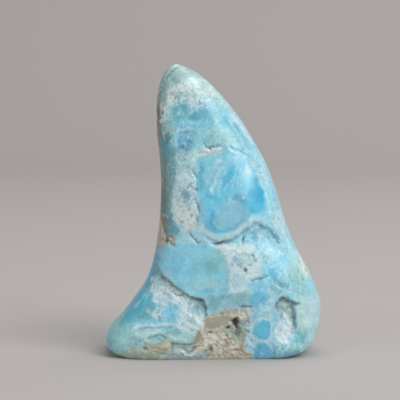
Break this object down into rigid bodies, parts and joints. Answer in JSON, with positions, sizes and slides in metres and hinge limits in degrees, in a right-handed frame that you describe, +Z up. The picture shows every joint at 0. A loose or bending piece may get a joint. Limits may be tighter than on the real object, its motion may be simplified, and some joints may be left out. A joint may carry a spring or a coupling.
{
  "type": "aragonite freeform",
  "caption": "Free-standing polished blue aragonite: a leaning, sail-shaped stone with a rounded tip, a flared foot, a flat-cut base, and ledges, hollows and cracks left in its front.",
  "frame": {"origin": "middle of the bounding box, at the flat base that the stone stands on", "axes": "+Z up from the flat base towards the rounded tip, +X along the wide face towards the side that the long curved edge comes down on, -Y out of the front face with the ledges"},
  "size_m": [0.0728, 0.0361, 0.0975],
  "materials": {
    "polished_aragonite": "polished, with rough unpolished ledges, hollows and pores"
  },
  "bodies": {
    "root": {"aragonite": "polished_aragonite"}
  },
  "joints": []
}
